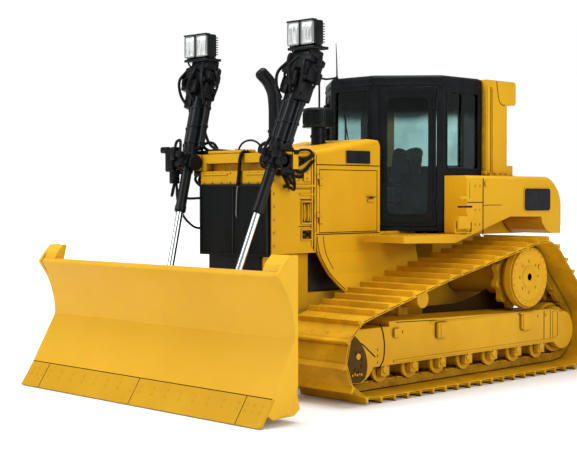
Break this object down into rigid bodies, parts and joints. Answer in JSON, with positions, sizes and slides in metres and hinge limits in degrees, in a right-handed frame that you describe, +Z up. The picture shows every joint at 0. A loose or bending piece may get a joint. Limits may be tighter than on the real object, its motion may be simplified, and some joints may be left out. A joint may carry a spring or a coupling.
{
  "type": "crawler bulldozer",
  "caption": "Bulldozer on wide tracks with a raised drive sprocket, a cab with a roll-over frame, and a blade that lifts, angles and tilts on cylinders.",
  "frame": {"origin": "on the ground, at the middle of the overall length and width", "axes": "+X to the machine's left, -Y forward, +Z up"},
  "size_m": [3.48, 5.51, 3.5516],
  "materials": {
    "yellow_paint": "satin",
    "track_steel": "worn satin",
    "black_paint": "satin",
    "chrome_rod": "polished",
    "window_glass": "clear",
    "pipe": "dull",
    "seat_cover": "matt"
  },
  "bodies": {
    "machine": {"cab_glass": "window_glass", "cab_shell": "black_paint", "console": "black_paint", "drawbar": "yellow_paint", "engine_block": "track_steel", "equalizer_bar": "yellow_paint", "exhaust_stack": "pipe", "fender_left": "yellow_paint", "fender_right": "yellow_paint", "final_drives": "yellow_paint", "fuel_tank": "yellow_paint", "grille": "black_paint", "hood": "yellow_paint", "main_frame": "yellow_paint", "pivot_shaft": "track_steel", "precleaner": "black_paint", "radiator_core": "black_paint", "radiator_guard": "yellow_paint", "rops": "yellow_paint", "seat": "seat_cover", "side_panels": "yellow_paint", "sprockets": "track_steel", "track_frame_left": "yellow_paint", "track_frame_right": "yellow_paint", "track_left": "track_steel", "track_right": "track_steel", "undercarriage_wheels": "yellow_paint"},
    "c_frame": {"c_frame": "yellow_paint"},
    "blade_yoke": {"blade_yoke": "yellow_paint"},
    "blade": {"blade": "yellow_paint", "cutting_edge": "yellow_paint"},
    "tilt_barrel": {"tilt_barrel": "black_paint"},
    "tilt_rod": {"tilt_rod": "chrome_rod"},
    "lift_yoke_left": {"lift_yoke_left": "yellow_paint"},
    "lift_barrel_left": {"lift_barrel_left": "black_paint", "work_lamps_left": "black_paint"},
    "lift_rod_left": {"lift_rod_left": "chrome_rod"},
    "angle_barrel_left": {"angle_barrel_left": "black_paint"},
    "angle_rod_left": {"angle_rod_left": "chrome_rod"},
    "engine_door_left": {"engine_door_left": "yellow_paint"},
    "cab_door_left": {"cab_door_left": "black_paint", "door_glass_left": "window_glass"},
    "lift_yoke_right": {"lift_yoke_right": "yellow_paint"},
    "lift_barrel_right": {"lift_barrel_right": "black_paint", "work_lamps_right": "black_paint"},
    "lift_rod_right": {"lift_rod_right": "chrome_rod"},
    "angle_barrel_right": {"angle_barrel_right": "black_paint"},
    "angle_rod_right": {"angle_rod_right": "chrome_rod"},
    "engine_door_right": {"engine_door_right": "yellow_paint"},
    "cab_door_right": {"cab_door_right": "black_paint", "door_glass_right": "window_glass"}
  },
  "joints": [
    {"name": "blade_lift", "type": "hinge", "parent": "machine", "child": "c_frame", "pos_m": [0, 0.05, 0.48], "axis": [-1, 0, 0], "range_deg": [-10, 24]},
    {"name": "blade_angle", "type": "hinge", "parent": "c_frame", "child": "blade_yoke", "pos_m": [0, -2.14, 0.47], "axis": [0, 0, 1], "range_deg": [-22, 22]},
    {"name": "blade_tilt", "type": "hinge", "parent": "blade_yoke", "child": "blade", "pos_m": [0, -2.3, 0.47], "axis": [0, -1, 0], "range_deg": [-8, 8]},
    {"name": "tilt_barrel_swing", "type": "hinge", "parent": "blade_yoke", "child": "tilt_barrel", "pos_m": [-0.28, -2.225, 0.93], "axis": [0, -1, 0], "range_deg": [-5.2, 5.2]},
    {"name": "tilt_rod_slide", "type": "slide", "parent": "tilt_barrel", "child": "tilt_rod", "axis": [0.9899, 0, 0.1414], "range_m": [-0.072, 0.072]},
    {"name": "lift_yoke_left_turn", "type": "hinge", "parent": "machine", "child": "lift_yoke_left", "pos_m": [0.62, -1.505, 2.23], "axis": [-1, 0, 0], "range_deg": [-1.3, 3]},
    {"name": "lift_barrel_left_swing", "type": "hinge", "parent": "lift_yoke_left", "child": "lift_barrel_left", "pos_m": [0.62, -1.505, 2.23], "axis": [0, 0.9496, -0.3133], "range_deg": [-2.4, 5.5]},
    {"name": "lift_rod_left_slide", "type": "slide", "parent": "lift_barrel_left", "child": "lift_rod_left", "axis": [-0.1155, -0.3112, -0.9433], "range_m": [-0.86, 0.36]},
    {"name": "angle_barrel_left_swing", "type": "hinge", "parent": "c_frame", "child": "angle_barrel_left", "pos_m": [0.64, -1.3, 0.47], "axis": [0, 0, 1], "range_deg": [-1.5, 1.5]},
    {"name": "angle_rod_left_slide", "type": "slide", "parent": "angle_barrel_left", "child": "angle_rod_left", "axis": [-0.0694, -0.9976, 0], "range_m": [-0.235, 0.235]},
    {"name": "engine_door_left_hinge", "type": "hinge", "parent": "machine", "child": "engine_door_left", "pos_m": [0.514, -0.77, 1.84], "axis": [0, 0, -1], "range_deg": [0, 100]},
    {"name": "cab_door_left_hinge", "type": "hinge", "parent": "machine", "child": "cab_door_left", "pos_m": [0.8092, 0.6786, 2.3], "axis": [0, 0, 1], "range_deg": [0, 115]},
    {"name": "lift_yoke_right_turn", "type": "hinge", "parent": "machine", "child": "lift_yoke_right", "pos_m": [-0.62, -1.505, 2.23], "axis": [-1, 0, 0], "range_deg": [-1.3, 3]},
    {"name": "lift_barrel_right_swing", "type": "hinge", "parent": "lift_yoke_right", "child": "lift_barrel_right", "pos_m": [-0.62, -1.505, 2.23], "axis": [0, -0.9496, 0.3133], "range_deg": [-2.4, 5.5]},
    {"name": "lift_rod_right_slide", "type": "slide", "parent": "lift_barrel_right", "child": "lift_rod_right", "axis": [0.1155, -0.3112, -0.9433], "range_m": [-0.86, 0.36]},
    {"name": "angle_barrel_right_swing", "type": "hinge", "parent": "c_frame", "child": "angle_barrel_right", "pos_m": [-0.64, -1.3, 0.47], "axis": [0, 0, 1], "range_deg": [-1.5, 1.5]},
    {"name": "angle_rod_right_slide", "type": "slide", "parent": "angle_barrel_right", "child": "angle_rod_right", "axis": [0.0694, -0.9976, 0], "range_m": [-0.235, 0.235]},
    {"name": "engine_door_right_hinge", "type": "hinge", "parent": "machine", "child": "engine_door_right", "pos_m": [-0.514, -0.77, 1.84], "axis": [0, 0, 1], "range_deg": [0, 100]},
    {"name": "cab_door_right_hinge", "type": "hinge", "parent": "machine", "child": "cab_door_right", "pos_m": [-0.8092, 0.6786, 2.3], "axis": [0, 0, -1], "range_deg": [0, 115]}
  ],
  "couplings": [
    {"joint": "tilt_barrel_swing", "follows": "blade_tilt", "ratio": 0.627},
    {"joint": "tilt_rod_slide", "follows": "blade_tilt", "m_per_rad": -0.4945},
    {"joint": "lift_yoke_left_turn", "follows": "blade_lift", "ratio": 0.1},
    {"joint": "lift_barrel_left_swing", "follows": "blade_lift", "ratio": 0.2217},
    {"joint": "lift_rod_left_slide", "follows": "blade_lift", "m_per_rad": -2.0163},
    {"joint": "angle_barrel_left_swing", "follows": "blade_angle", "ratio": 0.06},
    {"joint": "angle_rod_left_slide", "follows": "blade_angle", "m_per_rad": -0.6025},
    {"joint": "lift_yoke_right_turn", "follows": "blade_lift", "ratio": 0.1},
    {"joint": "lift_barrel_right_swing", "follows": "blade_lift", "ratio": 0.2217},
    {"joint": "lift_rod_right_slide", "follows": "blade_lift", "m_per_rad": -2.0163},
    {"joint": "angle_barrel_right_swing", "follows": "blade_angle", "ratio": 0.06},
    {"joint": "angle_rod_right_slide", "follows": "blade_angle", "m_per_rad": 0.6025}
  ]
}
